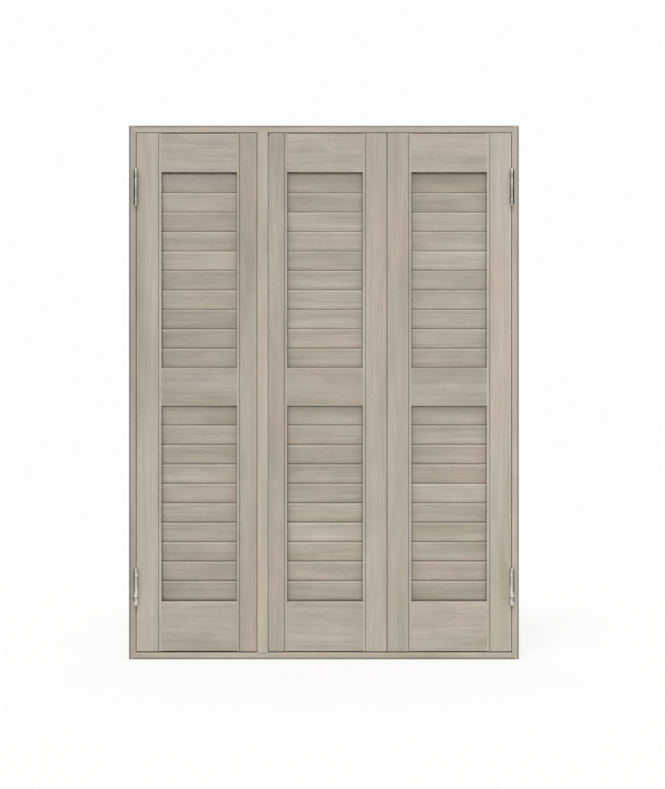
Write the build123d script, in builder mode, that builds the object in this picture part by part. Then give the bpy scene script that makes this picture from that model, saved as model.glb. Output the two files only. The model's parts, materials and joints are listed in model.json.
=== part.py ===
"""Louvred window shutters in a slim wooden frame.

One leaf hangs on the left jamb. A pair of leaves, hinged back to back, hangs on the
right jamb. A mullion stands between them. Every leaf is a mortised and tenoned frame
with two fields of fixed louvres, each louvre housed in the stiles at a slant. Stop beads
on the frame and a lap between the folding leaves keep light out of the gaps.

The origin is the centre of the sill's underside. X runs along the width, the front
faces -Y and Z is up. Sizes are in millimetres.
"""

from build123d import *
import math
import os

os.makedirs("parts", exist_ok=True)

# Frame
frame_w = 800.0
frame_h = 1095.0
frame_d = 60.0
frame_t = 14.0
housing = 4.0
outer_arris = 1.6
arris = 0.8
front_y = -frame_d / 2
head_z = frame_h - frame_t

# Mullion, a little proud of the frame and a little right of the first third
mullion_w = 21.4
mullion_x = -125.7
mullion_proud = 2.0
mullion_round = 1.5

# Stop beads planted on the frame behind the leaves
stop_w = 8.0
stop_d = 14.0
stop_y = -1.5

# Fixing screws through the jambs
fixing_r = 2.25
fixing_z = (250.0, 850.0)

# Leaves
leaf_t = 28.0
leaf_mid_y = front_y + leaf_t / 2
leaf_back_y = front_y + leaf_t
gap_jamb = 1.6
gap_mullion = 1.3
gap_fold = 2.4
gap_sill = 2.6
gap_head = 1.3
left_hung_stile_w = 50.9
right_hung_stile_w = 50.0
fold_stile_w = 48.7
closing_bevel = 1.2
closing_play = 1.4
lap_w = 5.4
lap_t = 5.2
lap_play = 0.6
field_w = 155.0
horn = 1.0
rail_recess = 1.0
bottom_rail_h = 100.5
lock_rail_h = 78.0
top_rail_h = 78.4
field_h = 402.0

# Rail tenons
rail_tenon_l = 24.0
rail_tenon_t = 10.0
rail_tenon_margin = 16.0
tenon_play = 0.1

# Bead along the inner edge of each stile, set off by a narrow groove
quirk_in = 5.7
quirk_w = 1.3
quirk_d = 2.2

# Louvres
louvre_count = 10
louvre_pitch = 40.0
louvre_w = 44.0
louvre_t = 6.5
louvre_tilt = 13.0
louvre_nose = 2.0
louvre_set_back = 2.0
louvre_housing = 6.0
housing_play = 0.05
lower_drop = 0.4
upper_drop = 2.4

# Rails meet the louvres with a rebate below the last one and a tongue behind the first
rebate_d = 6.0
rebate_in = 0.2
tongue_d = 7.0
tongue_in = 0.8

# Hinges: three knuckles on a pin that stands out at both ends
hinge_h = 75.0
knuckle_r = 4.5
pin_r = 3.15
bore_r = 3.2
plate_t = 1.3
plate_d = 20.0
axis_stand = 4.8
plate_root = 3.3
pin_proud = 2.5
end_knuckle_h = 14.0
knuckle_play = 0.3
hinge_z = {"lower": 148.7, "upper": 967.9}

# Magnetic catches: a magnet in the top of each closing stile, its keeper in the head
magnet_w = 22.0
magnet_d = 9.0
magnet_h = 7.0
magnet_rise = 0.8
keeper_w = 26.0
keeper_d = 12.0
keeper_t = 1.6

# Places that follow from the sizes above
leaf_z0 = frame_t + gap_sill
leaf_z1 = head_z - gap_head
bottom_rail_z = leaf_z0 + horn
lower_field_z = bottom_rail_z + bottom_rail_h
lock_rail_z = lower_field_z + field_h
upper_field_z = lock_rail_z + lock_rail_h
top_rail_z = upper_field_z + field_h
rails = {
    "bottom_rail": (bottom_rail_z, bottom_rail_h),
    "lock_rail": (lock_rail_z, lock_rail_h),
    "top_rail": (top_rail_z, top_rail_h),
}
louvre_y = leaf_mid_y + louvre_set_back
jamb_face_x = frame_w / 2 - frame_t
jamb_axis_x = jamb_face_x - gap_jamb / 2
mullion_left_x = mullion_x - mullion_w / 2
mullion_right_x = mullion_x + mullion_w / 2
right_leaf_x1 = jamb_face_x - gap_jamb
right_leaf_x0 = right_leaf_x1 - right_hung_stile_w - field_w - fold_stile_w - lap_w
fold_axis_x = right_leaf_x0 - gap_fold / 2
middle_leaf_x1 = right_leaf_x0 - gap_fold
middle_leaf_x0 = mullion_right_x + closing_play
left_leaf_x0 = -jamb_face_x + gap_jamb
left_leaf_x1 = mullion_left_x - gap_mullion
middle_fold_w = fold_stile_w - lap_w
right_fold_w = fold_stile_w + lap_w
middle_closing_w = middle_leaf_x1 - middle_leaf_x0 - field_w - middle_fold_w
left_closing_w = left_leaf_x1 - left_leaf_x0 - field_w - left_hung_stile_w
jamb_axis_y = front_y - axis_stand
fold_axis_y = leaf_back_y + axis_stand
left_bay_x = (mullion_left_x - jamb_face_x) / 2
left_bay_w = mullion_left_x + jamb_face_x - 2 * stop_w
bay_h = head_z - frame_t
left_magnet_x = left_leaf_x1 - left_closing_w / 2
middle_magnet_x = middle_leaf_x0 + middle_closing_w / 2

# For each bevelled edge, the face that is cut back and the face that keeps its corner
bevels = {
    "front_bevel": (front_y, leaf_back_y),
    "back_bevel": (leaf_back_y, front_y),
}


def save(piece, node):
    """Label a finished piece with its node's name and write it."""
    piece.part.label = node
    export_step(piece.part, f"parts/{node}.step")


def louvre_planes(x, field_z, drop):
    """Planes square to X, one for each louvre, leaning with the louvre's width up the plane."""
    tilt = math.radians(louvre_tilt)
    across = (0, math.cos(tilt), math.sin(tilt))
    reach = louvre_w / 2 * math.cos(tilt) + (louvre_t / 2 - louvre_nose) * math.sin(tilt)
    top = field_z + field_h - drop - reach
    heights = [top - louvre_pitch * i for i in range(louvre_count)]
    return [Plane(origin=(x, louvre_y, z), x_dir=across, z_dir=(1, 0, 0)) for z in heights]


def louvre_section(play=0.0):
    """A louvre's section, its upper edge eased on both faces, grown all round by play."""
    section = Rectangle(louvre_t + 2 * play, louvre_w + 2 * play)
    chamfer(section.vertices().group_by(Axis.Y)[-1], length=louvre_nose)


def make_jamb(node, side):
    """A full-height jamb with housings for head and sill, hinge recesses and fixing holes."""
    face_x = side * jamb_face_x
    with BuildPart() as jamb:
        with Locations((side * (frame_w - frame_t) / 2, 0, 0)):
            Box(frame_t, frame_d, frame_h, align=(Align.CENTER, Align.CENTER, Align.MIN))
        outline = jamb.faces().sort_by(Axis.Y)[0].edges().sort_by(Axis.X, reverse=side > 0)
        chamfer(outline[:-1], length=outer_arris)
        bay_edge = jamb.faces().sort_by(Axis.Y)[0].edges().sort_by(Axis.X, reverse=side > 0)[-1]
        chamfer(bay_edge, length=arris)
        with BuildSketch(Plane.YZ.offset(face_x)):
            with Locations((0, frame_t / 2), (0, frame_h - frame_t / 2)):
                Rectangle(frame_d, frame_t)
        extrude(amount=side * housing, mode=Mode.SUBTRACT)
        with BuildSketch(Plane.YZ.offset(face_x)):
            for z in hinge_z.values():
                with Locations((front_y + plate_d / 2, z)):
                    Rectangle(plate_d, hinge_h - 2 * pin_proud)
        extrude(amount=side * plate_t, mode=Mode.SUBTRACT)
        inward = [Plane(origin=(face_x, 0, z), z_dir=(-side, 0, 0)) for z in fixing_z]
        with Locations(*inward):
            Hole(fixing_r)
    save(jamb, node)


def make_cross_member(node, z, keepers=()):
    """The head or the sill, let into both jambs, with a recess for each keeper underneath."""
    length = 2 * (jamb_face_x + housing)
    outer = 0 if z == 0 else -1
    with BuildPart() as member:
        with BuildSketch(Plane.YZ.offset(-length / 2)) as section:
            with Locations((0, z + frame_t / 2)):
                Rectangle(frame_d, frame_t)
            for corner, ease in ((outer, outer_arris), (-1 - outer, arris)):
                front = section.vertices().group_by(Axis.X)[0].sort_by(Axis.Y)
                chamfer(front[corner], length=ease)
        extrude(amount=length)
        for x in keepers:
            with BuildSketch(Plane.XY.offset(z)):
                with Locations((x, leaf_mid_y)):
                    Rectangle(keeper_w, keeper_d)
            extrude(amount=keeper_t, mode=Mode.SUBTRACT)
    save(member, node)


def make_mullion():
    """The post between the single leaf and the pair, its front edges rounded."""
    with BuildPart() as mullion:
        with BuildSketch(Plane.XY.offset(frame_t)):
            with Locations((mullion_x, -mullion_proud / 2)):
                section = Rectangle(mullion_w, frame_d + mullion_proud)
            fillet(section.vertices().group_by(Axis.Y)[0], radius=mullion_round)
        extrude(amount=bay_h)
    save(mullion, "mullion")


def make_stop(node, x, z, width, height):
    """A stop bead with the middle of its front face at x and z."""
    with BuildPart() as stop:
        with Locations((x, stop_y, z)):
            Box(width, stop_d, height, align=(Align.CENTER, Align.MIN, Align.CENTER))
    save(stop, node)


def make_stile(node, x0, x1, inner, plates, magnet_x=None, edge="plain"):
    """A stile from x0 to x1 whose inner edge faces +X (inner 1) or -X (inner -1).

    plates lists the hinge recesses on its outer edge as +1 at the back or -1 at the front.
    edge says how the outer edge ends: plain, lip or rebate where the folding leaves lap,
    front_bevel or back_bevel where that face has to clear the mullion as the leaf swings.
    """
    edge_x, outer_x = (x1, x0) if inner > 0 else (x0, x1)
    with BuildPart() as stile:
        with BuildSketch(Plane.XY.offset(leaf_z0)) as section:
            with Locations(((x0 + x1) / 2, leaf_mid_y)):
                Rectangle(x1 - x0, leaf_t)
            if edge == "lip":
                with Locations((outer_x, front_y)):
                    Rectangle(lap_w, lap_t, align=(Align.MIN, Align.MIN))
            if edge == "rebate":
                with Locations((outer_x, front_y)):
                    Rectangle(2 * lap_w, 2 * (lap_t + lap_play), mode=Mode.SUBTRACT)
            if edge in bevels:
                cut_y, kept_y = bevels[edge]
                with BuildLine():
                    Polyline(
                        (outer_x, kept_y),
                        (outer_x, cut_y),
                        (outer_x + inner * closing_bevel, cut_y),
                        close=True,
                    )
                make_face(mode=Mode.SUBTRACT)
            corners = section.vertices().group_by(Axis.Y)
            chamfer(corners[0] + corners[-1], length=arris)
            for face_y in (front_y, leaf_back_y):
                with Locations((edge_x - inner * quirk_in, face_y)):
                    Rectangle(quirk_w, 2 * quirk_d, mode=Mode.SUBTRACT)
        extrude(amount=leaf_z1 - leaf_z0)
        with BuildSketch(
            *louvre_planes(edge_x, lower_field_z, lower_drop),
            *louvre_planes(edge_x, upper_field_z, upper_drop),
        ):
            louvre_section(housing_play)
        extrude(amount=-inner * louvre_housing, mode=Mode.SUBTRACT)
        with BuildSketch(Plane.YZ.offset(edge_x)):
            for z, height in rails.values():
                with Locations((leaf_mid_y, z + height / 2)):
                    Rectangle(
                        rail_tenon_t + tenon_play,
                        height - 2 * rail_tenon_margin + tenon_play,
                    )
        extrude(amount=-inner * (rail_tenon_l + tenon_play), mode=Mode.SUBTRACT)
        for face in plates:
            plate_y = leaf_mid_y + face * (leaf_t - plate_d) / 2
            with BuildSketch(Plane.YZ.offset(outer_x)):
                for z in hinge_z.values():
                    with Locations((plate_y, z)):
                        Rectangle(plate_d, hinge_h - 2 * pin_proud)
            extrude(amount=inner * plate_t, mode=Mode.SUBTRACT)
        if magnet_x is not None:
            with BuildSketch(Plane.XY.offset(leaf_z1)):
                with Locations((magnet_x, leaf_mid_y)):
                    Rectangle(magnet_w, magnet_d)
            extrude(amount=magnet_rise - magnet_h, mode=Mode.SUBTRACT)
    save(stile, node)


def make_rail(node, x0, z, height, field_above, field_below):
    """A rail with a tenon at each end, set back from the stiles' faces.

    Its front edges towards a louvre field are eased. Under a field the back is rebated for
    the heel of the last louvre, and over a field a tongue closes the back of the first one.
    """
    back_w = leaf_t / 2 - rail_recess - louvre_set_back
    with BuildPart() as rail:
        with BuildSketch(Plane.YZ.offset(x0)):
            with Locations((leaf_mid_y, z + height / 2)):
                section = Rectangle(leaf_t - 2 * rail_recess, height)
            if field_above:
                chamfer(section.vertices().group_by(Axis.Y)[-1].sort_by(Axis.X)[0], arris)
                with Locations((louvre_y + rebate_in, z + height)):
                    Rectangle(
                        leaf_t,
                        2 * rebate_d,
                        align=(Align.MIN, Align.CENTER),
                        mode=Mode.SUBTRACT,
                    )
            if field_below:
                chamfer(section.vertices().group_by(Axis.Y)[0].sort_by(Axis.X)[0], arris)
                with Locations((louvre_y + tongue_in, z)):
                    Rectangle(back_w - tongue_in, 2 * tongue_d, align=(Align.MIN, Align.CENTER))
        extrude(amount=field_w)
        with BuildSketch(Plane.YZ.offset(x0 - rail_tenon_l)):
            with Locations((leaf_mid_y, z + height / 2)):
                Rectangle(rail_tenon_t, height - 2 * rail_tenon_margin)
        extrude(amount=field_w + 2 * rail_tenon_l)
    save(rail, node)


def make_louvres(node, x0, field_z, drop):
    """One field of louvres, each long enough to fill its housings in both stiles."""
    with BuildPart() as louvres:
        with BuildSketch(*louvre_planes(x0 - louvre_housing, field_z, drop)):
            louvre_section()
        extrude(amount=field_w + 2 * louvre_housing)
    save(louvres, node)


def make_leaf(name, x0, x1, widths, plates, edges, magnet_x=None):
    """A leaf: two stiles, three rails and two fields of louvres.

    widths, plates and edges each hold the left stile's value and then the right stile's.
    """
    field_x0 = x0 + widths[0]
    field_x1 = x1 - widths[1]
    magnets = [None, None]
    if magnet_x is not None:
        magnets[magnet_x > field_x1] = magnet_x
    make_stile(f"{name}_left_stile", x0, field_x0, 1, plates[0], magnets[0], edges[0])
    make_stile(f"{name}_right_stile", field_x1, x1, -1, plates[1], magnets[1], edges[1])
    for rail, (z, height) in rails.items():
        make_rail(f"{name}_{rail}", field_x0, z, height, rail != "top_rail", rail != "bottom_rail")
    make_louvres(f"{name}_lower_louvres", field_x0, lower_field_z, lower_drop)
    make_louvres(f"{name}_upper_louvres", field_x0, upper_field_z, upper_drop)


def make_hinge_plate(node, x, y, z, side, depth_dir, knuckles):
    """One half of a hinge: a plate beside the axis with the knuckles that it carries.

    side is the plate's side of the axis along X, depth_dir the way it runs along Y, and
    knuckles lists (bottom, top) heights measured from the hinge's middle.
    """
    gap = gap_fold if depth_dir < 0 else gap_jamb
    plate_x = x + side * (gap + plate_t) / 2
    half = hinge_h / 2 - pin_proud
    root = axis_stand - plate_root
    with BuildPart() as plate:
        with BuildSketch(Plane.XY.offset(z - half)):
            with Locations((plate_x, y + depth_dir * (axis_stand + plate_d / 2))):
                Rectangle(plate_t, plate_d)
        extrude(amount=2 * half)
        for low, high in knuckles:
            with BuildSketch(Plane.XY.offset(z + low)):
                with Locations((x, y)):
                    Circle(knuckle_r)
                with Locations((plate_x, y + depth_dir * (plate_root + root / 2))):
                    Rectangle(plate_t, root)
                with Locations((x, y)):
                    Circle(bore_r, mode=Mode.SUBTRACT)
            extrude(amount=high - low)
    save(plate, node)


def make_hinge_pin(node, x, y, z):
    """A hinge pin as long as the whole hinge, standing out of both end knuckles."""
    with BuildPart() as pin:
        with Locations((x, y, z)):
            Cylinder(pin_r, hinge_h)
    save(pin, node)


def make_hinge(name, carrier, hung, x, y, z, carrier_side, depth_dir):
    """A hinge whose end knuckles and pin stay with the carrier and whose middle one swings."""
    half = hinge_h / 2 - pin_proud
    inner = half - end_knuckle_h
    ends = [(-half, -inner), (inner, half)]
    middle = [(-inner + knuckle_play, inner - knuckle_play)]
    make_hinge_plate(f"{name}_{carrier}_plate", x, y, z, carrier_side, depth_dir, ends)
    make_hinge_plate(f"{name}_{hung}_plate", x, y, z, -carrier_side, depth_dir, middle)
    make_hinge_pin(f"{name}_pin", x, y, z)


def make_magnet(node, x):
    """A block magnet let into the top of a closing stile, standing a little proud."""
    with BuildPart() as magnet:
        with BuildSketch(Plane.XY.offset(leaf_z1 + magnet_rise - magnet_h)):
            with Locations((x, leaf_mid_y)):
                Rectangle(magnet_w, magnet_d)
        extrude(amount=magnet_h)
        chamfer(magnet.edges().group_by(Axis.Z)[-1], length=arris / 2)
    save(magnet, node)


def make_keeper(node, x):
    """A steel plate let flush into the head's underside, over a magnet."""
    with BuildPart() as keeper:
        with BuildSketch(Plane.XY.offset(head_z)):
            with Locations((x, leaf_mid_y)):
                Rectangle(keeper_w, keeper_d)
        extrude(amount=keeper_t)
    save(keeper, node)


make_jamb("jamb_left", -1)
make_jamb("jamb_right", 1)
make_cross_member("sill", 0)
make_cross_member("head", head_z, keepers=(left_magnet_x, middle_magnet_x))
make_mullion()

make_stop("left_jamb_stop", stop_w / 2 - jamb_face_x, frame_h / 2, stop_w, bay_h)
make_stop("mullion_stop", mullion_left_x - stop_w / 2, frame_h / 2, stop_w, bay_h)
make_stop("right_jamb_stop", jamb_face_x - stop_w / 2, frame_h / 2, stop_w, bay_h)
make_stop("left_sill_stop", left_bay_x, frame_t + stop_w / 2, left_bay_w, stop_w)
make_stop("left_head_stop", left_bay_x, head_z - stop_w / 2, left_bay_w, stop_w)

make_leaf(
    "left_leaf",
    left_leaf_x0,
    left_leaf_x1,
    (left_hung_stile_w, left_closing_w),
    ((-1,), ()),
    ("plain", "back_bevel"),
    left_magnet_x,
)
make_leaf(
    "middle_leaf",
    middle_leaf_x0,
    middle_leaf_x1,
    (middle_closing_w, middle_fold_w),
    ((), (1,)),
    ("front_bevel", "lip"),
    middle_magnet_x,
)
make_leaf(
    "right_leaf",
    right_leaf_x0,
    right_leaf_x1,
    (right_fold_w, right_hung_stile_w),
    ((1,), (-1,)),
    ("rebate", "plain"),
)

for level, level_z in hinge_z.items():
    make_hinge(f"left_{level}_hinge", "jamb", "leaf", -jamb_axis_x, jamb_axis_y, level_z, -1, 1)
    make_hinge(f"right_{level}_hinge", "jamb", "leaf", jamb_axis_x, jamb_axis_y, level_z, 1, 1)
    make_hinge(f"fold_{level}_hinge", "right", "middle", fold_axis_x, fold_axis_y, level_z, 1, -1)

make_magnet("left_magnet", left_magnet_x)
make_magnet("middle_magnet", middle_magnet_x)
make_keeper("left_keeper", left_magnet_x)
make_keeper("middle_keeper", middle_magnet_x)
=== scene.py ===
"""Looks for the louvred shutters: weathered greige wood, polished steel hinges and their screws.

Everything is in metres, in the frame of the CAD model: X along the width, the front faces -Y,
Z is up and the origin is the centre of the sill's underside.
"""

import json
import logging
import math
from dataclasses import dataclass
from enum import Enum

import bpy
import numpy as np
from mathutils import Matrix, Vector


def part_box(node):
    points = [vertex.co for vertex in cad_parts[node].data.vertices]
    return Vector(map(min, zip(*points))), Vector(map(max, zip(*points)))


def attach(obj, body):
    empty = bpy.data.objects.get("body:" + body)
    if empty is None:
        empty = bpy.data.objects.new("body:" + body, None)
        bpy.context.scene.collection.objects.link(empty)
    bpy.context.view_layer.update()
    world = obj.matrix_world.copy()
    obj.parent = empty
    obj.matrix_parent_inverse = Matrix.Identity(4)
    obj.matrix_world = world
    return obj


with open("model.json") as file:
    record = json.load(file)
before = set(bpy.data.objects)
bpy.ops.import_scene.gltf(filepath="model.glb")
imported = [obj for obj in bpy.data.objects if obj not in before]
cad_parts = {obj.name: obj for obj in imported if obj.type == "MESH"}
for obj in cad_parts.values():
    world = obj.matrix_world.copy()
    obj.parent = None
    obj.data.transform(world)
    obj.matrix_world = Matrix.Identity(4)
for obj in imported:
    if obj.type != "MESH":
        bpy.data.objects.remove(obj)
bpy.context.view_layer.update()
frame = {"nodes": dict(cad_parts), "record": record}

LOG = logging.getLogger("shutters")

Socket = bpy.types.NodeSocket
Tree = bpy.types.NodeTree
Material = bpy.types.Material
Pair = tuple[float, float]

MM = 0.001
PHOTO_W = 665
PHOTO_H = 789
FRONT_Y = -30.0 * MM  # the frame's front face
LOUVRE_MID_Y = -14.0 * MM  # the middle of each louvre's depth


class Grain(Enum):
    """The way a member's fibres run."""

    UPRIGHT = "upright"
    LEVEL = "level"


def metres(low_mm: float, high_mm: float) -> Pair:
    """Turn two sizes in millimetres to metres."""
    return low_mm * MM, high_mm * MM


def linear(hex_colour: str) -> tuple[float, float, float, float]:
    """Turn an sRGB hex colour into linear RGBA.

    Args:
        hex_colour: six hex digits after a hash.

    Returns:
        Linear red, green, blue and an alpha of one.
    """
    digits = hex_colour.lstrip("#")
    parts = []
    for start in (0, 2, 4):
        share = int(digits[start:start + 2], 16) / 255
        parts.append(share / 12.92 if share <= 0.04045 else ((share + 0.055) / 1.055) ** 2.4)
    return (parts[0], parts[1], parts[2], 1.0)


def add_node(
    tree: Tree, kind: str, links: dict[str | int, object] | None = None, **settings: object
) -> bpy.types.Node:
    """Add one node, with its settings, its constant inputs and its links.

    Args:
        tree: the node tree that gets the node.
        kind: Blender's name of the node type.
        links: input name or index to a constant value or to the socket that feeds it.
        settings: attributes to set on the node before its inputs.

    Returns:
        The new node.
    """
    node = tree.nodes.new(kind)
    for name, value in settings.items():
        setattr(node, name, value)
    for key, value in (links or {}).items():
        if isinstance(value, Socket):
            tree.links.new(value, node.inputs[key])
        else:
            node.inputs[key].default_value = value
    return node


def nearest(tree: Tree, axis: str, planes: tuple[float, ...]) -> Socket:
    """Measure how far a point is from the nearest of some planes square to one axis.

    It is the smallest of the absolute differences between the point's coordinate and theirs.

    Args:
        tree: the material's tree.
        axis: X, Y or Z.
        planes: where the planes cross it.

    Returns:
        A socket with the distance in metres.
    """
    place = add_node(tree, "ShaderNodeTexCoord").outputs["Object"]
    along = add_node(tree, "ShaderNodeSeparateXYZ", {0: place}).outputs[axis]
    near = None
    for plane in planes:
        away = add_node(tree, "ShaderNodeMath", {0: along, 1: plane}, operation="SUBTRACT").outputs[0]
        away = add_node(tree, "ShaderNodeMath", {0: away}, operation="ABSOLUTE").outputs[0]
        if near is not None:
            away = add_node(tree, "ShaderNodeMath", {0: near, 1: away}, operation="MINIMUM").outputs[0]
        near = away
    return near


def tint(tree: Tree, shade: Socket | float, value: Socket, spread: Pair, factors: Pair) -> Socket:
    """Multiply a shade by a factor that follows a value.

    The factor goes evenly from the first to the second as the value crosses the spread, and
    is held at either beyond it.

    Args:
        tree: the material's tree.
        shade: the shade so far.
        value: what the factor follows.
        spread: where the factor starts and stops to change.
        factors: what it is there.

    Returns:
        A socket with the new shade.
    """
    factor = add_node(tree, "ShaderNodeMapRange", {
        "Value": value,
        "From Min": spread[0],
        "From Max": spread[1],
        "To Min": factors[0],
        "To Max": factors[1],
    }).outputs[0]
    return add_node(tree, "ShaderNodeMath", {0: shade, 1: factor}, operation="MULTIPLY").outputs[0]


def new_material(name: str) -> tuple[Material, Tree]:
    """Make an empty node material.

    Args:
        name: the material's name.

    Returns:
        The material and its node tree, with no nodes in it.
    """
    material = bpy.data.materials.new(name)
    material.use_nodes = True
    material.node_tree.nodes.clear()
    return material, material.node_tree


def assign(piece: bpy.types.Object, material: Material) -> None:
    """Give a piece one material on all its faces."""
    piece.data.materials.clear()
    piece.data.materials.append(material)


def dress(node: str, material: Material) -> None:
    """Give a CAD node its finish and report it."""
    assign(frame["nodes"][node], material)
    LOG.info("%s dressed", node)


def add_piece(name: str, points: np.ndarray, faces: list[list[int]]) -> bpy.types.Object:
    """Make an object of a computed surface, put it in the scene and report it.

    Args:
        name: the piece's name.
        points: one row of x, y and z for each point.
        faces: the numbers of each face's points.

    Returns:
        The new object, at the origin.
    """
    mesh = bpy.data.meshes.new(name)
    mesh.from_pydata(points.tolist(), [], faces)
    mesh.update()
    piece = bpy.data.objects.new(name, mesh)
    bpy.context.scene.collection.objects.link(piece)
    LOG.info("%s set", name)
    return piece


@dataclass(frozen=True)
class Figure:
    """A pattern in the wood: a noise that is drawn out along the grain.

    across_mm and along_mm are the size of one patch, detail is how many finer noises are
    added, rough is how strong those are, and apart moves the pattern away from the others in
    the same member. Where the noise crosses the spread, it changes the lightness by depth.
    """

    across_mm: float
    along_mm: float
    detail: float
    rough: float
    apart: float
    depth: Pair = (0.0, 0.0)
    spread: Pair = (0.3, 0.7)

    def draw(self, tree: Tree, place: Socket, grain: Grain) -> Socket:
        """Add the noise to a material.

        Args:
            tree: the material's tree.
            place: where the point is in the timber, in metres.
            grain: the way the fibres run.

        Returns:
            A socket with the noise, from 0 to 1.
        """
        across, along = 1.0 / (self.across_mm * MM), 1.0 / (self.along_mm * MM)
        scale = (across, across, along) if grain is Grain.UPRIGHT else (along, across, across)
        vector = add_node(tree, "ShaderNodeVectorMath", {0: place, 1: scale, 2: (self.apart,) * 3},
                          operation="MULTIPLY_ADD").outputs[0]
        return add_node(tree, "ShaderNodeTexNoise", {
            "Vector": vector, "Scale": 1.0, "Detail": self.detail, "Roughness": self.rough,
        }).outputs["Fac"]


@dataclass(frozen=True)
class Slats:
    """One field of louvres, as its finish sees it: each louvre is a board of its own.

    top is the height of the top louvre's middle, foot is the height of the rail under the
    last one, and first is the top louvre's number, which keeps two fields apart.
    """

    top: float
    foot: float
    first: float
    pitch: float = 40.0 * MM
    slant_deg: float = 13.0

    def number(self, tree: Tree) -> Socket:
        """Number the louvres by counting their planes.

        The distance below the top louvre's middle plane, square to the louvres, is divided
        by the spacing of two such planes and rounded.

        Args:
            tree: the material's tree.

        Returns:
            A socket with the louvre's number.
        """
        lean = math.radians(self.slant_deg)
        square = (0.0, math.cos(lean), math.sin(lean))
        step = self.pitch * square[2]
        start = LOUVRE_MID_Y * square[1] + self.top * square[2]
        place = add_node(tree, "ShaderNodeTexCoord").outputs["Object"]
        along = add_node(tree, "ShaderNodeVectorMath", {0: place, 1: square},
                         operation="DOT_PRODUCT").outputs["Value"]
        count = add_node(tree, "ShaderNodeMath", {0: along, 1: -1.0 / step, 2: start / step + self.first},
                         operation="MULTIPLY_ADD").outputs[0]
        return add_node(tree, "ShaderNodeMath", {0: count}, operation="ROUND").outputs[0]

    def rise(self, tree: Tree, number: Socket) -> Socket:
        """Measure how far a point is above the middle of its own louvre.

        Args:
            tree: the material's tree.
            number: the louvre's number.

        Returns:
            A socket with the height in metres, below 0 in the lower half.
        """
        place = add_node(tree, "ShaderNodeTexCoord").outputs["Object"]
        height = add_node(tree, "ShaderNodeSeparateXYZ", {0: place}).outputs["Z"]
        lifted = add_node(tree, "ShaderNodeMath", {0: number, 1: self.pitch, 2: height},
                          operation="MULTIPLY_ADD").outputs[0]
        return add_node(tree, "ShaderNodeMath", {0: lifted, 1: self.top + self.first * self.pitch},
                        operation="SUBTRACT").outputs[0]


@dataclass(frozen=True)
class Member:
    """One piece of the joinery, with what its finish has to know.

    node is its CAD node, grain the way its fibres run, seed takes it from another part of
    the timber and tone is its lightness against the others. rims are where the long edges
    of its front face lie, if not at its sides, groove_x is where a stile has the groove
    beside its bead, edge is the axis and the place of a frame member's outer face, whose
    front edge is dark, and slats describes a field of louvres.
    """

    node: str
    grain: Grain
    seed: int
    tone: float
    rims: Pair | None = None
    groove_x: float | None = None
    edge: tuple[str, float] | None = None
    slats: Slats | None = None


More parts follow.
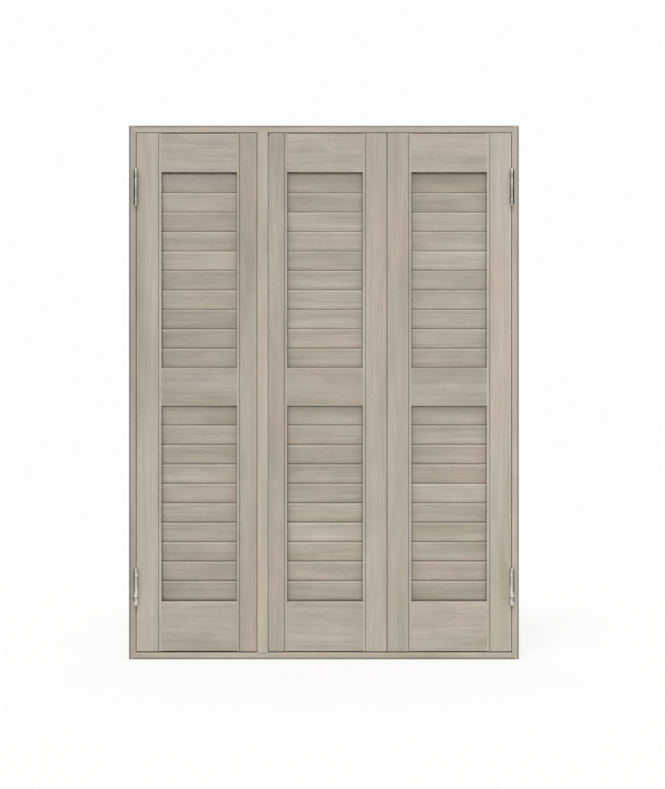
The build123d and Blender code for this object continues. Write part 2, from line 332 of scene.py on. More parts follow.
@dataclass(frozen=True)
class WeatheredWood:
    """Close-grained softwood, planed, stained greige and sealed matt.

    The stain sits deeper in the soft early wood, so the eye sees long pale and dark fibres,
    faint growth lines, short dark pores and slow drifts towards pink and towards green.
    Shade is painted into the grooves, where louvres meet the frame round them and in the
    creases between louvres, and the frame's outer front edge is drawn darker. Highlights are
    painted on the sharp edges and the louvres' noses, and painted light lifts the lower half of each louvre.

    A pixel of the photograph is about 2 mm wide. Real fibres and pores are far finer than
    that and real growth lines lie 2 or 3 mm apart, too fine to show, so they are drawn as
    coarse as they need to be. In boards that lie level the figure is stronger by level_force.
    """

    # The stain's colours, and where they lie along two slow noises.
    pale: str = "#B8B0A3"
    mid: str = "#ADA598"
    deep: str = "#9F9786"
    rosy: str = "#B3A698"
    stops: tuple[float, float, float] = (0.28, 0.5, 0.74)
    pink_spread: Pair = (0.48, 0.72)
    pink_share: float = 0.75

    # The figure: its noises, and the spacing, depth, fade, lean and bend of the growth lines.
    broad: Figure = Figure(55.0, 420.0, detail=2.0, rough=0.5, apart=0.0)
    drift: Figure = Figure(90.0, 260.0, detail=1.0, rough=0.5, apart=7.3)
    mottle: Figure = Figure(30.0, 45.0, detail=2.0, rough=0.5, apart=3.1, depth=(-0.035, 0.03))
    fibre: Figure = Figure(2.2, 130.0, detail=3.0, rough=0.55, apart=1.7, depth=(-0.07, 0.05))
    hair: Figure = Figure(0.8, 28.0, detail=2.0, rough=0.6, apart=4.9, depth=(-0.035, 0.025))
    pores: Figure = Figure(0.8, 11.0, detail=1.0, rough=0.5, apart=9.2, depth=(0.0, -0.12),
                           spread=(0.62, 0.72))

    growth_mm: float = 21.0
    growth_depth: Pair = (-0.045, 0.01)
    growth_fade: Pair = (0.0, 0.55)
    growth_lean: float = 0.35
    bend: Figure = Figure(60.0, 500.0, detail=1.0, rough=0.5, apart=12.7)
    bend_rings: float = 4.5
    level_force: float = 1.4

    # How far apart boards are cut from the timber, in metres, and how louvres differ in tone.
    seed_step: tuple[float, float, float] = (1.37, 0.61, 2.11)
    board_step: float = 3.0
    board_turn: float = 5.3
    board_tones: Pair = (0.92, 1.06)

    # Where the painted shade in grooves, the darker outer front edge of the frame and the painted edge
    # highlights of stiles, rails and frame start and end, and their shades.
    groove_mm: Pair = (0.65, 0.8)
    groove_shade: float = 0.72
    edge_mm: Pair = (3.0, 4.2)
    edge_shade: float = 0.52
    rim_mm: Pair = (0.4, 1.4)
    rim_shade: float = 0.85
    edge_highlight_mm: Pair = (1.0, 2.2)
    edge_highlight: float = 1.2

    # Painted shade and light on the louvres, and where each starts and ends: from the stiles, from the rail
    # below and from each one's middle.
    housing_mm: float = 6.0
    end_mm: Pair = (0.8, 2.8)
    crease_mm: Pair = (-17.8, -15.4)
    crease_shade: float = 0.52
    corner_mm: Pair = (1.0, 5.0)
    corner_shade: float = 0.76
    nose_mm: Pair = (18.4, 20.0)
    nose_highlight: float = 1.08
    painted_lift_mm: Pair = (-15.0, 3.0)
    painted_lift: float = 1.17

    # The sealed surface.
    roughness: float = 0.62
    sheen: float = 0.06
    ior: float = 1.45
    specular: float = 0.35
    relief: float = 0.35
    relief_mm: float = 0.25

    def material(self, member: Member) -> Material:
        """Build the wood for one member, so that no two members share a board.

        Args:
            member: the member that gets it.

        Returns:
            The finished material.
        """
        material, tree = new_material(f"wood_{member.node}")
        place = add_node(tree, "ShaderNodeTexCoord").outputs["Object"]
        shift = tuple(member.seed * step for step in self.seed_step)
        place = add_node(tree, "ShaderNodeVectorMath", {0: place, 1: shift}, operation="ADD").outputs[0]
        number = None
        if member.slats is not None:
            number = member.slats.number(tree)
            chance = add_node(tree, "ShaderNodeTexWhiteNoise", {"W": number}, noise_dimensions="1D")
            steps = (self.board_step,) * 3
            place = add_node(tree, "ShaderNodeVectorMath", {0: chance.outputs["Color"], 1: steps, 2: place},
                             operation="MULTIPLY_ADD").outputs[0]

        fibre = self.fibre.draw(tree, place, member.grain)
        hair = self.hair.draw(tree, place, member.grain)
        shade = self.figured(tree, member, place, fibre, hair)
        # Stiles, rails and frame get painted highlights on their edges; louvres get painted shade and light
        # of their own.
        if number is None:
            shade = self.painted_edge_highlights(tree, shade, member)
        else:
            shade = self.louvres(tree, shade, member, number)
        # Painted shade in the groove beside the bead.
        if member.groove_x is not None:
            groove = nearest(tree, "X", (member.groove_x,))
            shade = tint(tree, shade, groove, metres(*self.groove_mm), (self.groove_shade, 1.0))
        # The outer front edge of jambs, head and sill is drawn darker.
        if member.edge is not None:
            shade = self.darken_outer_edge(tree, shade, *member.edge)
        colour = add_node(tree, "ShaderNodeVectorMath",
                          {0: self.colour(tree, place, member.grain), "Scale": shade},
                          operation="SCALE").outputs[0]

        relief = add_node(tree, "ShaderNodeMath", {0: fibre, 1: hair}, operation="ADD").outputs[0]
        bump = add_node(tree, "ShaderNodeBump", {
            "Height": relief, "Strength": self.relief, "Distance": self.relief_mm * MM,
        })
        rough = (self.roughness + self.sheen, self.roughness - self.sheen)
        shader = add_node(tree, "ShaderNodeBsdfPrincipled", {
            "Base Color": colour,
            "Roughness": tint(tree, 1.0, hair, self.hair.spread, rough),
            "Normal": bump.outputs["Normal"],
            "IOR": self.ior,
            "Specular IOR Level": self.specular,
        })
        add_node(tree, "ShaderNodeOutputMaterial", {"Surface": shader.outputs["BSDF"]})
        return material

    def colour(self, tree: Tree, place: Socket, grain: Grain) -> Socket:
        """Mix the stain: three greiges along one slow noise, and pink where another is high.

        Args:
            tree: the material's tree.
            place: where the point is in the timber, in metres.
            grain: the way the fibres run.

        Returns:
            A socket with the colour, before its shades.
        """
        ramp = add_node(tree, "ShaderNodeValToRGB", {"Fac": self.broad.draw(tree, place, grain)})
        first, last = ramp.color_ramp.elements
        first.position, first.color = self.stops[0], linear(self.deep)
        last.position, last.color = self.stops[2], linear(self.pale)
        ramp.color_ramp.elements.new(self.stops[1]).color = linear(self.mid)
        drift = self.drift.draw(tree, place, grain)
        pink = tint(tree, 1.0, drift, self.pink_spread, (0.0, self.pink_share))
        return add_node(tree, "ShaderNodeMix",
                        {"Factor": pink, "A": ramp.outputs["Color"], "B": linear(self.rosy)},
                        data_type="RGBA").outputs["Result"]

    def figured(self, tree: Tree, member: Member, place: Socket, fibre: Socket, hair: Socket) -> Socket:
        """Shade the member by its fibres, mottle, growth lines and pores.

        A growth line is a step in a saw that rises once for each growth_mm across the board.
        The saw leans with the depth, and a slow noise bends it.

        Args:
            tree: the material's tree.
            member: the member, whose tone the shade starts from.
            place: where the point is in the timber, in metres.
            fibre: the fibres' noise.
            hair: the finest noise.

        Returns:
            A socket with the shade, about 1.
        """
        grain = member.grain
        parts = add_node(tree, "ShaderNodeSeparateXYZ", {0: place})
        across = parts.outputs["X" if grain is Grain.UPRIGHT else "Z"]
        leaning = add_node(tree, "ShaderNodeMath", {0: parts.outputs["Y"], 1: self.growth_lean, 2: across},
                           operation="MULTIPLY_ADD").outputs[0]
        rings = add_node(tree, "ShaderNodeMath", {0: leaning, 1: 1.0 / (self.growth_mm * MM)},
                         operation="MULTIPLY").outputs[0]
        rings = add_node(tree, "ShaderNodeMath",
                         {0: self.bend.draw(tree, place, grain), 1: self.bend_rings, 2: rings},
                         operation="MULTIPLY_ADD").outputs[0]
        saw = add_node(tree, "ShaderNodeMath", {0: rings}, operation="FRACT").outputs[0]

        force = self.level_force if grain is Grain.LEVEL else 1.0
        shade = member.tone
        for value, spread, (dark, light) in (
            (fibre, self.fibre.spread, self.fibre.depth),
            (hair, self.hair.spread, self.hair.depth),
            (self.mottle.draw(tree, place, grain), self.mottle.spread, self.mottle.depth),
            (saw, self.growth_fade, self.growth_depth),
            (self.pores.draw(tree, place, grain), self.pores.spread, self.pores.depth),
        ):
            shade = tint(tree, shade, value, spread, (1.0 + dark * force, 1.0 + light * force))
        return shade

    def darken_outer_edge(self, tree: Tree, shade: Socket, axis: str, outer: float) -> Socket:
        """Darken the front edge of a frame member's outer face, but less on its very rim.

        The larger of a point's distances from the outer face and from the front is small
        only near that edge.

        Args:
            tree: the material's tree.
            shade: the shade so far.
            axis: X or Z, the way the outer face looks.
            outer: where that face lies.

        Returns:
            A socket with the new shade.
        """
        away, back = nearest(tree, axis, (outer,)), nearest(tree, "Y", (FRONT_Y,))
        far = add_node(tree, "ShaderNodeMath", {0: away, 1: back}, operation="MAXIMUM").outputs[0]
        shade = tint(tree, shade, far, metres(*self.edge_mm), (self.edge_shade, 1.0))
        return tint(tree, shade, far, metres(*self.rim_mm), (self.rim_shade / self.edge_shade, 1.0))

    def painted_edge_highlights(self, tree: Tree, shade: Socket, member: Member) -> Socket:
        """Paint highlights on the long edges round a member's front and back faces.

        The larger of a point's distances from the nearer rim and from the nearer face is
        small only on such an edge.

        Args:
            tree: the material's tree.
            shade: the shade so far.
            member: the member, of whose CAD node the box gives the faces.

        Returns:
            A socket with the new shade.
        """
        low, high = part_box(member.node)
        across = 0 if member.grain is Grain.UPRIGHT else 2
        rims = nearest(tree, "XYZ"[across], member.rims or (low[across], high[across]))
        faces = nearest(tree, "Y", (low[1], high[1]))
        near = add_node(tree, "ShaderNodeMath", {0: rims, 1: faces}, operation="MAXIMUM").outputs[0]
        return tint(tree, shade, near, metres(*self.edge_highlight_mm), (self.edge_highlight, 1.0))

    def louvres(self, tree: Tree, shade: Socket, member: Member, number: Socket) -> Socket:
        """Tell the louvres of a field apart and paint shade and light on them where they meet their
        neighbours.

        Each is a little paler or darker than the next. Painted shade darkens them by the stiles,
        in the crease over the next nose and by the rail below, a painted highlight lightens
        their noses and painted light their lower halves.

        Args:
            tree: the material's tree.
            shade: the shade so far.
            member: the field of louvres.
            number: the louvre's number.

        Returns:
            A socket with the new shade.
        """
        low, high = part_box(member.node)
        ends = nearest(tree, "X", (low[0], high[0]))
        place = add_node(tree, "ShaderNodeTexCoord").outputs["Object"]
        height = add_node(tree, "ShaderNodeSeparateXYZ", {0: place}).outputs["Z"]
        above = add_node(tree, "ShaderNodeMath", {0: height, 1: member.slats.foot},
                         operation="SUBTRACT").outputs[0]
        rise = member.slats.rise(tree, number)
        turned = add_node(tree, "ShaderNodeMath", {0: number, 1: self.board_turn}, operation="ADD").outputs[0]
        chance = add_node(tree, "ShaderNodeTexWhiteNoise", {"W": turned}, noise_dimensions="1D")
        visible = tuple(self.housing_mm + size for size in self.end_mm)
        # Painted shade by the stiles, by the rail below and in the crease, a painted highlight on each nose
        # and painted light on each lower half; then each louvre's own tone.
        for value, spread, factors in (
            (ends, metres(*visible), (self.crease_shade, 1.0)),
            (above, metres(*self.corner_mm), (self.corner_shade, 1.0)),
            (rise, metres(*self.crease_mm), (self.crease_shade, 1.0)),
            (rise, metres(*self.nose_mm), (1.0, self.nose_highlight)),
            (rise, metres(*self.painted_lift_mm), (self.painted_lift, 1.0)),
            (chance.outputs["Value"], (0.0, 1.0), self.board_tones),
        ):
            shade = tint(tree, shade, value, spread, factors)
        return shade


@dataclass(frozen=True)
class Metal:
    """Bare or plated metal with the mottle that rolling and handling leave.

    Polished steel mirrors its surroundings, zinc plate is paler and duller, and a nickel
    plated magnet is darker with a soft shine. The metal is drawn darker at the joints
    between knuckles. The real mottle is too fine to show, so it is drawn mottle_mm wide.
    crown_lean is how far the surface leans at a knuckle's ends, in radians.
    """

    name: str
    colour: str
    roughness: float
    mottle_mm: float = 6.0
    mottle_spread: Pair = (0.3, 0.7)
    mottle_factors: Pair = (0.75, 1.3)
    joint_mm: Pair = (0.3, 1.3)
    joint_shade: float = 0.45
    crown_lean: float = 0.07

    def material(
        self, crowns: tuple[float, ...] = (), half: float = 0.0, joints: tuple[float, ...] = ()
    ) -> Material:
        """Build the metal.

        Args:
            crowns: the heights of the knuckles' middles, where it covers knuckles.
            half: half a knuckle's length.
            joints: the heights of the joints between knuckles.

        Returns:
            The finished material.
        """
        material, tree = new_material(self.name)
        colour = linear(self.colour)
        place = add_node(tree, "ShaderNodeTexCoord").outputs["Object"]
        noise = add_node(tree, "ShaderNodeTexNoise", {
            "Vector": place, "Scale": 1.0 / (self.mottle_mm * MM), "Detail": 3.0, "Roughness": 0.6,
        }).outputs["Fac"]
        rough = tint(tree, self.roughness, noise, self.mottle_spread, self.mottle_factors)
        links = {"Base Color": colour, "Metallic": 1.0, "Roughness": rough}
        if crowns:
            # The metal is drawn darker near the joints between knuckles.
            near = nearest(tree, "Z", joints)
            joint_darkening = tint(tree, 1.0, near, metres(*self.joint_mm), (self.joint_shade, 1.0))
            links["Base Color"] = add_node(tree, "ShaderNodeVectorMath", {0: colour[:3], "Scale": joint_darkening},
                                           operation="SCALE").outputs[0]
            links["Normal"] = self.barrel(tree, nearest(tree, "Z", crowns), half)
        shader = add_node(tree, "ShaderNodeBsdfPrincipled", links)
        add_node(tree, "ShaderNodeOutputMaterial", {"Surface": shader.outputs["BSDF"]})
        return material

    def barrel(self, tree: Tree, near: Socket, half: float) -> Socket:
        """Bend the shine as slightly barrel-shaped knuckles do, with a glint near each top.

        The height falls with the square of the distance from the knuckle's middle, so that
        the surface leans by crown_lean at its ends.

        Args:
            tree: the material's tree.
            near: the distance from the knuckle's middle.
            half: half its length.

        Returns:
            A socket with the bent normal.
        """
        square = add_node(tree, "ShaderNodeMath", {0: near, 1: near}, operation="MULTIPLY").outputs[0]
        height = add_node(tree, "ShaderNodeMath", {0: square, 1: -self.crown_lean / 2 / half},
                          operation="MULTIPLY").outputs[0]
        return add_node(tree, "ShaderNodeBump", {
            "Height": height, "Strength": 1.0, "Distance": 1.0,
        }).outputs["Normal"]


POLISHED_STEEL = Metal("polished_steel", "#D7D5CF", roughness=0.12)
BRUSHED_STEEL = Metal("brushed_steel", "#CBC9C3", roughness=0.3)
ZINC_PLATE = Metal("zinc_plate", "#B4B6B5", roughness=0.34)
NICKEL_MAGNET = Metal("nickel_magnet", "#7D7F82", roughness=0.3)


@dataclass
class Frame:
    """The jambs, head, sill, mullion and stop beads, with each one's grain, tone and dark edge."""

    wood: WeatheredWood
    members: tuple[tuple[str, Grain, float, tuple[str, float] | None], ...] = (
        ("jamb_left", Grain.UPRIGHT, 0.86, ("X", -400.0 * MM)),
        ("jamb_right", Grain.UPRIGHT, 1.09, ("X", 400.0 * MM)),
        ("mullion", Grain.UPRIGHT, 1.11, None),
        ("left_jamb_stop", Grain.UPRIGHT, 0.98, None),
        ("mullion_stop", Grain.UPRIGHT, 0.98, None),
        ("right_jamb_stop", Grain.UPRIGHT, 0.98, None),
        ("head", Grain.LEVEL, 1.06, ("Z", 1095.0 * MM)),
        ("sill", Grain.LEVEL, 1.085, ("Z", 0.0)),
        ("left_sill_stop", Grain.LEVEL, 0.98, None),
        ("left_head_stop", Grain.LEVEL, 0.98, None),
    )

    def dress(self) -> None:
        """Give each member a board of its own."""
        for seed, (node, grain, tone, edge) in enumerate(self.members, start=1):
            dress(node, self.wood.material(Member(node, grain, seed, tone, edge=edge)))


@dataclass
class Leaf:
    """One leaf: two stiles, three rails and two fields of louvres.

    The stiles' values go from left to right, the rails' from the top down and the fields'
    from the lower to the upper. A stile's rims are the long edges of its front face, and
    its groove lies beside the bead.
    """

    name: str
    seed: int
    wood: WeatheredWood
    stile_tones: Pair
    rail_tones: tuple[float, float, float]
    field_tones: Pair
    stile_rims_mm: tuple[Pair, Pair]
    grooves_mm: Pair
    rails_mm: tuple[tuple[str, float, float], ...] = (
        ("top", 1000.1, 1078.7), ("lock", 520.1, 598.1), ("bottom", 17.6, 118.1),
    )
    fields_mm: tuple[tuple[str, float, float], ...] = (("lower", 497.98, 118.1), ("upper", 975.98, 598.1))
    numbers_apart: float = 20.0

    def members(self) -> list[Member]:
        """List the stiles, rails and fields, each with the next seed.

        Returns:
            The leaf's members.
        """
        seeds = iter(range(self.seed + 1, self.seed + 8))
        members = []
        for side, tone, groove, rims in zip(
            ("left", "right"), self.stile_tones, self.grooves_mm, self.stile_rims_mm
        ):
            members.append(Member(f"{self.name}_{side}_stile", Grain.UPRIGHT, next(seeds), tone,
                                  rims=metres(*rims), groove_x=groove * MM))
        for (rail, low, high), tone in zip(self.rails_mm, self.rail_tones):
            members.append(Member(f"{self.name}_{rail}_rail", Grain.LEVEL, next(seeds), tone,
                                  rims=metres(low, high)))
        for (part, top, foot), tone in zip(self.fields_mm, self.field_tones):
            seed = next(seeds)
            slats = Slats(top * MM, foot * MM, first=seed * self.numbers_apart)
            members.append(Member(f"{self.name}_{part}_louvres", Grain.LEVEL, seed, tone, slats=slats))
        return members

    def dress(self) -> None:
        """Give each stile and rail its own board and each louvre its own."""
        for member in self.members():
            dress(member.node, self.wood.material(member))


@dataclass
class ScrewHead:
    """A countersunk screw head with a cross recess, drawn about its own axis.

    centre and neck are the radii of the innermost ring and of the cone's foot, as shares of
    the head's, and fade is how far the recess takes to reach its depth.
    """

    radius: float = 3.1 * MM
    dome: float = 0.25 * MM
    sink: float = 1.1 * MM
    recess_depth: float = 0.9 * MM
    recess_reach: float = 1.75 * MM
    recess_half: float = 0.34 * MM
    fade: float = 0.1 * MM
    centre: float = 0.04
    neck: float = 0.3
    rings: int = 14
    turns: int = 48

    def points(self) -> np.ndarray:
        """Work out the head's surface as a grid of rings by turns.

        The top is a shallow dome whose height falls with the square of the distance from the
        axis. The cross takes away a depth that fades in at the arms' edges. Below the rim a
        cone runs in towards the axis.

        Returns:
            An array of rings, turns and x, y, z, with z outwards along the screw.
        """
        share = np.linspace(self.centre, 1.0, self.rings - 1)
        turn = np.linspace(0.0, 2 * math.pi, self.turns, endpoint=False)
        r = np.concatenate([share * self.radius, [self.neck * self.radius]])
        x = r[:, None] * np.cos(turn)
        y = r[:, None] * np.sin(turn)
        arm = np.minimum(np.abs(x), np.abs(y))
        reach = np.maximum(np.abs(x), np.abs(y))
        inside = np.clip((self.recess_half - arm) / self.fade + 0.5, 0, 1)
        inside *= np.clip((self.recess_reach - reach) / self.fade, 0, 1)
        z = self.dome * (1 - (r[:, None] / self.radius) ** 2) - self.recess_depth * inside
        z[-1] = -self.sink
        return np.stack([x, y, z], axis=-1)

    def build(self, name: str, places: list[tuple[np.ndarray, np.ndarray, float]]) -> bpy.types.Object:
        """Set the head at each place and join the heads in one mesh.

        Quads join each ring to the next, and fans close the top and the cone's foot. Each
        head is turned so that its z lies along the place's axis.

        Args:
            name: the piece's name.
            places: for each screw its point on the surface, its outward axis and its turn.

        Returns:
            The new object, at the origin.
        """
        grid = self.points()
        turns = self.turns
        flat = np.concatenate([grid.reshape(-1, 3), [[0, 0, grid[0, :, 2].mean()]], [[0, 0, -self.sink]]])
        ring = np.arange(turns)
        after = (ring + 1) % turns
        faces = []
        for i in range(self.rings - 1):
            low, high = i * turns, (i + 1) * turns
            faces.append(np.stack([low + ring, high + ring, high + after, low + after], axis=1))
        last = (self.rings - 1) * turns
        faces.append(np.stack([np.full(turns, len(flat) - 2), ring, after], axis=1))
        faces.append(np.stack([np.full(turns, len(flat) - 1), last + after, last + ring], axis=1))
        all_points, all_faces = [], []
        for number, (point, axis, spin) in enumerate(places):
            side = np.array([0.0, 0.0, 1.0])
            across = math.cos(spin) * side + math.sin(spin) * np.cross(axis, side)
            other = np.cross(axis, across)
            all_points.append(flat[:, :1] * across + flat[:, 1:2] * other + flat[:, 2:] * axis + point)
            for part in faces:
                all_faces += (part + number * len(flat)).tolist()
        return add_piece(name, np.concatenate(all_points), all_faces)


@dataclass
class DomedEnd:
    """The rounded cap at an end of a hinge pin."""

    radius: float = 4.3 * MM
    height: float = 3.0 * MM
    fullness: float = 3.0
    rings: int = 16
    turns: int = 48

    def build(self, name: str, foot: tuple[float, float, float], way: float) -> bpy.types.Object:
        """Turn the cap about the pin's axis.

        The outline is a full dome: height and radius, each as a share of its greatest value
        and raised to the fullness, add up to one. Its flat base closes it.

        Args:
            name: the piece's name.
            foot: the middle of its base.
            way: 1 for a cap on top and -1 for one below.

        Returns:
            The new object, at the origin.
        """
        lean = np.linspace(0.0, math.pi / 2, self.rings, endpoint=False)
        r = self.radius * np.cos(lean) ** (2 / self.fullness)
        z = self.height * np.sin(lean) ** (2 / self.fullness)
        turn = np.linspace(0.0, 2 * math.pi, self.turns, endpoint=False)
        grid = np.stack([
            r[:, None] * np.cos(turn), r[:, None] * np.sin(turn) * way,
            np.broadcast_to((z * way)[:, None], (self.rings, self.turns)),
        ], axis=-1).reshape(-1, 3)
        points = np.concatenate([grid, [[0.0, 0.0, self.height * way]]]) + np.array(foot)
        ring = np.arange(self.turns)
        after = (ring + 1) % self.turns
        faces = []
        for i in range(self.rings - 1):
            low, high = i * self.turns, (i + 1) * self.turns
            faces += np.stack([low + ring, low + after, high + after, high + ring], axis=1).tolist()
        last = (self.rings - 1) * self.turns
        faces += np.stack([last + ring, last + after, np.full(self.turns, len(grid))], axis=1).tolist()
        faces.append(ring[::-1].tolist())
        piece = add_piece(name, points, faces)
        smooth = np.ones(len(faces), dtype=bool)
        smooth[-1] = False
        piece.data.polygons.foreach_set("use_smooth", smooth)
        return piece


@dataclass
class Hinges:
    """The butt hinges: plates and knuckles in polished steel, with three screws a plate.

    spread and stagger are the steps between a plate's screws along and across it, inset is
    their distance from the plate's free edge, gap and fold_gap are the spaces between two
    closed plates, and proud lifts heads and caps clear of the steel below. reach is half
    the pin's length. A plate has one middle knuckle or two end knuckles, whose middles lie
    end_knuckle from the hinge's, and joint is where they meet. face_right names the plates
    that look towards +X, by the first and the last word but one of their nodes, and each
    screw stops turn_step further than the one below, from first_turn, in radians.
    """

    screw: ScrewHead
    cap: DomedEnd
    spread: float = 25.0 * MM
    stagger: float = 3.0 * MM
    inset: float = 10.0 * MM
    gap: float = 1.6 * MM
    fold_gap: float = 2.4 * MM
    proud: float = 0.05 * MM
    reach: float = 35.0 * MM
    middle_half: float = 20.7 * MM
    end_half: float = 7.0 * MM
    end_knuckle: float = 28.0 * MM
    joint: float = 20.85 * MM
    face_right: tuple[tuple[str, str], ...] = (("left", "jamb"), ("right", "leaf"), ("fold", "middle"))
    first_turn: float = 0.4
    turn_step: float = 0.9

    def dress(self, plain: Material, screw_metal: Material) -> None:
        """Dress the plates and pins, cap the pins and put screws in every plate.

        Args:
            plain: the pins' and the caps' steel.
            screw_metal: the screws' finish.
        """
        steels: dict[tuple[bool, int], Material] = {}
        for body, nodes in frame["record"]["behaviour"]["bodies"].items():
            for node in nodes:
                if "hinge" not in node:
                    continue
                if not node.endswith("_plate"):
                    dress(node, plain)
                    self.add_caps(node, body, plain)
                    continue
                low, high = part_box(node)
                middle = (low[2] + high[2]) / 2
                single = node.endswith(("leaf_plate", "middle_plate"))
                key = (single, round(middle / MM))
                if key not in steels:
                    crowns = (middle,) if single else (middle - self.end_knuckle, middle + self.end_knuckle)
                    half = self.middle_half if single else self.end_half
                    joints = (middle - self.joint, middle + self.joint)
                    steels[key] = POLISHED_STEEL.material(crowns, half, joints)
                dress(node, steels[key])
                self.add_screws(node, body, screw_metal)

    def add_caps(self, node: str, body: str, steel: Material) -> None:
        """Set a domed cap on both ends of a pin.

        Args:
            node: the pin's CAD node.
            body: the body it rides on.
            steel: the caps' finish.
        """
        low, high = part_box(node)
        x, y, z = ((a + b) / 2 for a, b in zip(low, high))
        for end, way in (("top", 1.0), ("bottom", -1.0)):
            piece = self.cap.build(f"{node}_{end}_cap", (x, y, z + way * (self.reach + self.proud)), way)
            assign(piece, steel)
            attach(piece, body)

    def add_screws(self, node: str, body: str, metal: Material) -> None:
        """Put three staggered screws in a plate's open face, each at a turn of its own.

        Args:
            node: the plate's CAD node.
            body: the body it rides on.
            metal: the screws' finish.
        """
        low, high = (np.array(corner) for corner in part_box(node))
        words = node.split("_")
        folds = words[0] == "fold"
        outward = np.array([1.0 if (words[0], words[-2]) in self.face_right else -1.0, 0.0, 0.0])
        sunk = (self.fold_gap if folds else self.gap) / 2 - self.proud
        face_x = (low[0] + high[0]) / 2 - outward[0] * sunk
        middle_y = low[1] + self.inset if folds else high[1] - self.inset
        middle_z = (low[2] + high[2]) / 2
        places = []
        for number, step in enumerate((-1, 0, 1)):
            shift = self.stagger if step == 0 else -self.stagger
            point = np.array([face_x, middle_y + shift, middle_z + step * self.spread])
            places.append((point, outward, self.first_turn + number * self.turn_step))
        piece = self.screw.build(f"{node}_screws", places)
        assign(piece, metal)
        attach(piece, body)


@dataclass
class Fixings:
    """The flat-headed screws that hold the jambs, drawn in flush with their inner faces."""

    screw: ScrewHead
    face_x: float = 386.0 * MM
    heights: Pair = (250.0 * MM, 850.0 * MM)
    first_turn: float = 0.3
    turn_per_metre: float = 3.0

    def build(self, metal: Material) -> None:
        """Set two screws in each jamb, each at a turn of its own, which follows its height.

        Args:
            metal: the screws' finish.
        """
        for side, way in (("left", 1.0), ("right", -1.0)):
            places = [
                (np.array([-way * self.face_x, 0.0, z]), np.array([way, 0.0, 0.0]),
                 self.first_turn + self.turn_per_metre * z)
                for z in self.heights
            ]
            piece = self.screw.build(f"{side}_jamb_screws", places)
            assign(piece, metal)
            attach(piece, "frame")


@dataclass
class Catches:
    """The magnets in the closing stiles and their keeper plates in the head."""

    leaves: tuple[str, str] = ("left", "middle")

    def dress(self, plate: Material, magnet: Material) -> None:
        """Give both keepers and both magnets their metals.

        Args:
            plate: the keepers' finish.
            magnet: the magnets' finish.
        """
        for leaf in self.leaves:
            dress(f"{leaf}_keeper", plate)
            dress(f"{leaf}_magnet", magnet)


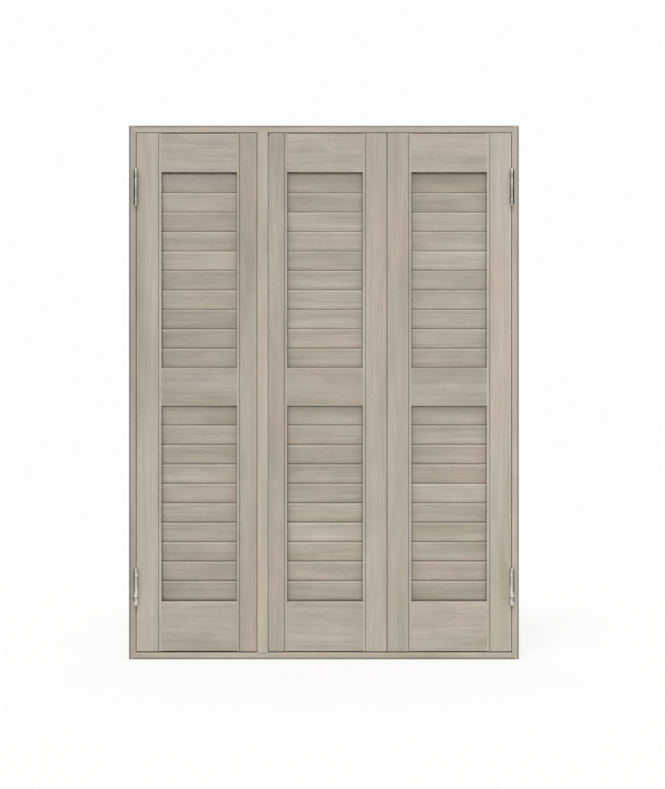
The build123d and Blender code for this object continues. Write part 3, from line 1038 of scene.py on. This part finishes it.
@dataclass
class Studio:
    """A pale floor that fades into a white surround, soft light and the camera.

    scale is the size of a pixel of the photograph at the front face, and centre_px is where
    the photograph shows the origin. The floor fades out over floor_fade. To the camera and
    to mirrors the surround is as white as white says, and glow_share of the floor as
    floor_white says.
    """

    scale: float = 2.0508 * MM
    centre_px: Pair = (323.93, 659.45)
    lens_mm: float = 85.0
    sensor_mm: float = 36.0
    floor_radius: float = 5.0
    floor_turns: int = 96
    floor_fade: Pair = (1.2, 3.6)
    floor_white: float = 0.97
    glow_share: float = 0.7
    white: float = 0.98
    screen_turns: int = 25

    def camera(self) -> None:
        """Put the camera square to the front, at the distance that gives the photograph's scale."""
        data = bpy.data.cameras.new("camera")
        data.lens = self.lens_mm
        data.sensor_width = self.sensor_mm
        data.clip_end = 100.0
        distance = PHOTO_H * self.scale * self.lens_mm / self.sensor_mm
        x = (PHOTO_W / 2 - self.centre_px[0]) * self.scale
        z = (self.centre_px[1] - PHOTO_H / 2) * self.scale
        rig = bpy.data.objects.new("camera", data)
        rig.location = (x, FRONT_Y - distance, z)
        rig.rotation_euler = (math.pi / 2, 0.0, 0.0)
        bpy.context.scene.collection.objects.link(rig)
        bpy.context.scene.camera = rig

    def floor(self) -> None:
        """Lay a pale round floor whose edge fades out, so that no horizon shows."""
        angle = np.linspace(0, 2 * math.pi, self.floor_turns, endpoint=False)
        rim = self.floor_radius * np.stack([np.cos(angle), np.sin(angle), 0 * angle], axis=1)
        piece = add_piece("floor", rim, [list(range(self.floor_turns))])
        material, tree = new_material("pale_floor")
        place = add_node(tree, "ShaderNodeTexCoord").outputs["Object"]
        far = add_node(tree, "ShaderNodeVectorMath", {0: place}, operation="LENGTH").outputs["Value"]
        fade = tint(tree, 1.0, far, self.floor_fade, (0.0, 1.0))
        matt = add_node(tree, "ShaderNodeBsdfDiffuse", {"Color": linear("#F7F7F6")})
        clear = add_node(tree, "ShaderNodeBsdfTransparent")
        glow = add_node(tree, "ShaderNodeEmission",
                        {"Color": linear("#FFFFFF"), "Strength": self.floor_white})
        share = add_node(tree, "ShaderNodeMath", {0: self.seen(tree), 1: self.glow_share},
                         operation="MULTIPLY").outputs[0]
        shown = add_node(tree, "ShaderNodeMixShader", {0: share, 1: matt.outputs[0], 2: glow.outputs[0]})
        mixed = add_node(tree, "ShaderNodeMixShader", {0: fade, 1: shown.outputs[0], 2: clear.outputs[0]})
        add_node(tree, "ShaderNodeOutputMaterial", {"Surface": mixed.outputs[0]})
        assign(piece, material)

    @staticmethod
    def seen(tree: Tree) -> Socket:
        """Tell whether a ray comes from the camera, a mirror or glass.

        Args:
            tree: the tree that asks.

        Returns:
            A socket that is 1 for such a ray and 0 for light on a matt surface.
        """
        rays = add_node(tree, "ShaderNodeLightPath").outputs
        seen = add_node(tree, "ShaderNodeMath", {0: rays["Is Camera Ray"], 1: rays["Is Glossy Ray"]},
                        operation="ADD").outputs[0]
        return add_node(tree, "ShaderNodeMath", {0: seen, 1: rays["Is Transmission Ray"]},
                        operation="ADD", use_clamp=True).outputs[0]

    def surround(self, ambient: float) -> None:
        """Light from all round, white where the camera and mirrors look.

        Args:
            ambient: the strength of the light that falls on matt surfaces.
        """
        world = bpy.data.worlds.new("surround")
        bpy.context.scene.world = world
        world.use_nodes = True
        tree = world.node_tree
        tree.nodes.clear()
        soft, white = (
            add_node(tree, "ShaderNodeBackground",
                     {"Color": linear("#FFFFFF"), "Strength": strength}).outputs[0]
            for strength in (ambient, self.white)
        )
        mixed = add_node(tree, "ShaderNodeMixShader", {0: self.seen(tree), 1: soft, 2: white})
        add_node(tree, "ShaderNodeOutputWorld", {"Surface": mixed.outputs[0]})

    @staticmethod
    def overhead(height_deg: float, turn_deg: float, spread_deg: float, strength: float) -> None:
        """Shine one broad soft light down on the front, as even at the foot as at the head.

        Args:
            height_deg: how high above the horizon it stands.
            turn_deg: how far it stands to the right of the front.
            spread_deg: how wide it looks from the object.
            strength: its strength on a surface that faces it.
        """
        data = bpy.data.lights.new("overhead", "SUN")
        data.angle = math.radians(spread_deg)
        data.energy = strength
        rig = bpy.data.objects.new("overhead", data)
        rig.rotation_euler = (math.radians(90.0 - height_deg), 0.0, math.radians(turn_deg))
        bpy.context.scene.collection.objects.link(rig)

    def screen(self, name: str, colour: str, radius: float, heights: Pair, sweep_deg: Pair) -> None:
        """Stand a curved glowing screen round the object, which only reflections show: a painted reflection.

        It is a strip of a cylinder round the object's middle: the angle runs from one end of
        the sweep to the other, and the height from the lower edge to the upper one.

        Args:
            name: the screen's name.
            colour: its glow, as mirrors see it.
            radius: how far off it stands.
            heights: its lower and upper edges.
            sweep_deg: its ends, to the right of the camera.
        """
        turns = self.screen_turns
        angle = np.radians(np.linspace(*sweep_deg, turns))
        ring = np.stack([radius * np.sin(angle), -radius * np.cos(angle)], axis=1)
        points = np.concatenate([np.column_stack([ring, np.full(turns, z)]) for z in heights])
        first = np.arange(turns - 1)
        quads = np.stack([first, first + 1, first + 1 + turns, first + turns], axis=1)
        piece = add_piece(name, points, quads.tolist())
        material, tree = new_material(f"reflection_of_{name}")
        # A painted reflection: the screen glows, and only mirrors see it.
        mirror_glow = add_node(tree, "ShaderNodeEmission", {"Color": linear(colour), "Strength": 1.0})
        add_node(tree, "ShaderNodeOutputMaterial", {"Surface": mirror_glow.outputs[0]})
        assign(piece, material)
        piece.visible_camera = False
        piece.visible_diffuse = False
        piece.visible_transmission = False
        piece.visible_shadow = False


def main() -> None:
    """Dress the CAD model, build the small pieces and set the stage."""
    logging.basicConfig(level=logging.INFO, format="%(name)s: %(message)s")
    wood = WeatheredWood()
    Frame(wood).dress()
    Leaf(
        "left_leaf", seed=100, wood=wood,
        stile_tones=(1.02, 0.915), rail_tones=(0.965, 0.895, 0.955), field_tones=(0.95, 0.99),
        stile_rims_mm=((-384.4, -333.5), (-178.5, -137.7)), grooves_mm=(-339.2, -172.8),
    ).dress()
    Leaf(
        "middle_leaf", seed=200, wood=wood,
        stile_tones=(0.925, 1.015), rail_tones=(1.005, 0.93, 0.93), field_tones=(1.045, 1.08),
        stile_rims_mm=((-112.4, -75.4), (79.6, 128.3)), grooves_mm=(-81.1, 85.3),
    ).dress()
    Leaf(
        "right_leaf", seed=300, wood=wood,
        stile_tones=(1.005, 1.115), rail_tones=(1.04, 0.955, 1.03), field_tones=(1.04, 1.055),
        stile_rims_mm=((130.7, 179.4), (334.4, 384.4)), grooves_mm=(173.7, 340.1),
    ).dress()

    steel = BRUSHED_STEEL.material()
    zinc = ZINC_PLATE.material()
    Hinges(ScrewHead(), DomedEnd()).dress(steel, zinc)
    Fixings(ScrewHead(radius=4.2 * MM, dome=0.2 * MM, recess_reach=2.3 * MM)).build(zinc)
    Catches().dress(zinc, NICKEL_MAGNET.material())

    studio = Studio()
    studio.camera()
    studio.floor()
    studio.surround(ambient=0.72)
    studio.overhead(height_deg=56.0, turn_deg=-6.0, spread_deg=26.0, strength=1.52)
    # Painted reflections for the hinges: grey in front, dark at the sides.
    studio.screen("front_screen", "#CECECE", radius=6.0, heights=(0.72, 1.66), sweep_deg=(-44.0, 44.0))
    for side, sweep in (("left", (-135.0, -44.0)), ("right", (44.0, 135.0))):
        studio.screen(f"{side}_screen", "#2A2A2A", radius=6.0, heights=(0.0, 3.2), sweep_deg=sweep)
        studio.screen(f"{side}_skirt", "#808080", radius=1.15, heights=(0.0, 0.3), sweep_deg=sweep)
    bpy.context.scene.view_settings.view_transform = "Standard"


if __name__ == "__main__":
    main()
